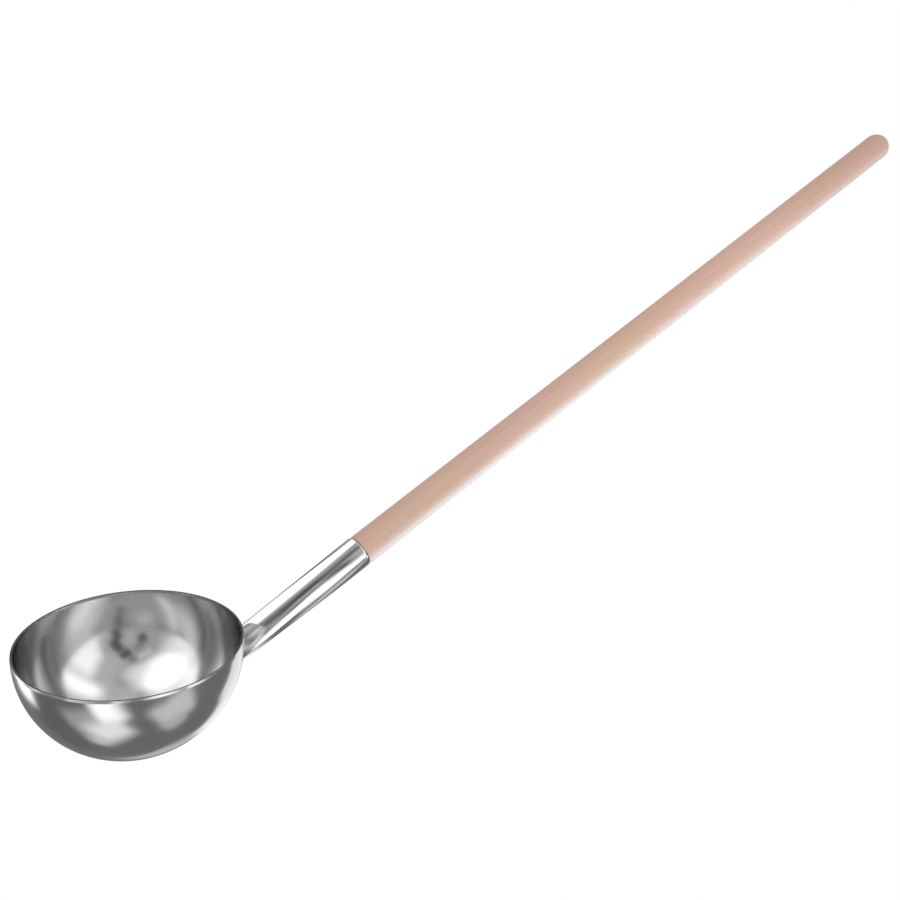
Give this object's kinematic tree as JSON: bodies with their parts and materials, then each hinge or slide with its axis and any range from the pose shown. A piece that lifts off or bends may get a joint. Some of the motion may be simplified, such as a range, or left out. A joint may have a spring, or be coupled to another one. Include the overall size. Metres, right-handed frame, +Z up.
{
  "type": "ladle",
  "caption": "Long ladle: a deep round steel bowl with a conical steel socket welded to its wall, and a straight round wooden handle with a domed end.",
  "frame": {"origin": "middle of the ladle's outline seen from above, on the surface that it lies on", "axes": "+X runs level from the bowl to the handle's domed end, +Z is up, and the XZ plane halves the ladle"},
  "size_m": [0.7286, 0.12, 0.0877],
  "materials": {
    "polished_steel": "bright polished stainless sheet",
    "weld_metal": "dressed weld, a little duller than the sheet",
    "beech": "sanded bare beech"
  },
  "bodies": {
    "root": {"bowl": "polished_steel", "socket_tube": "polished_steel", "weld_bead": "weld_metal", "wooden_handle": "beech"}
  },
  "joints": []
}
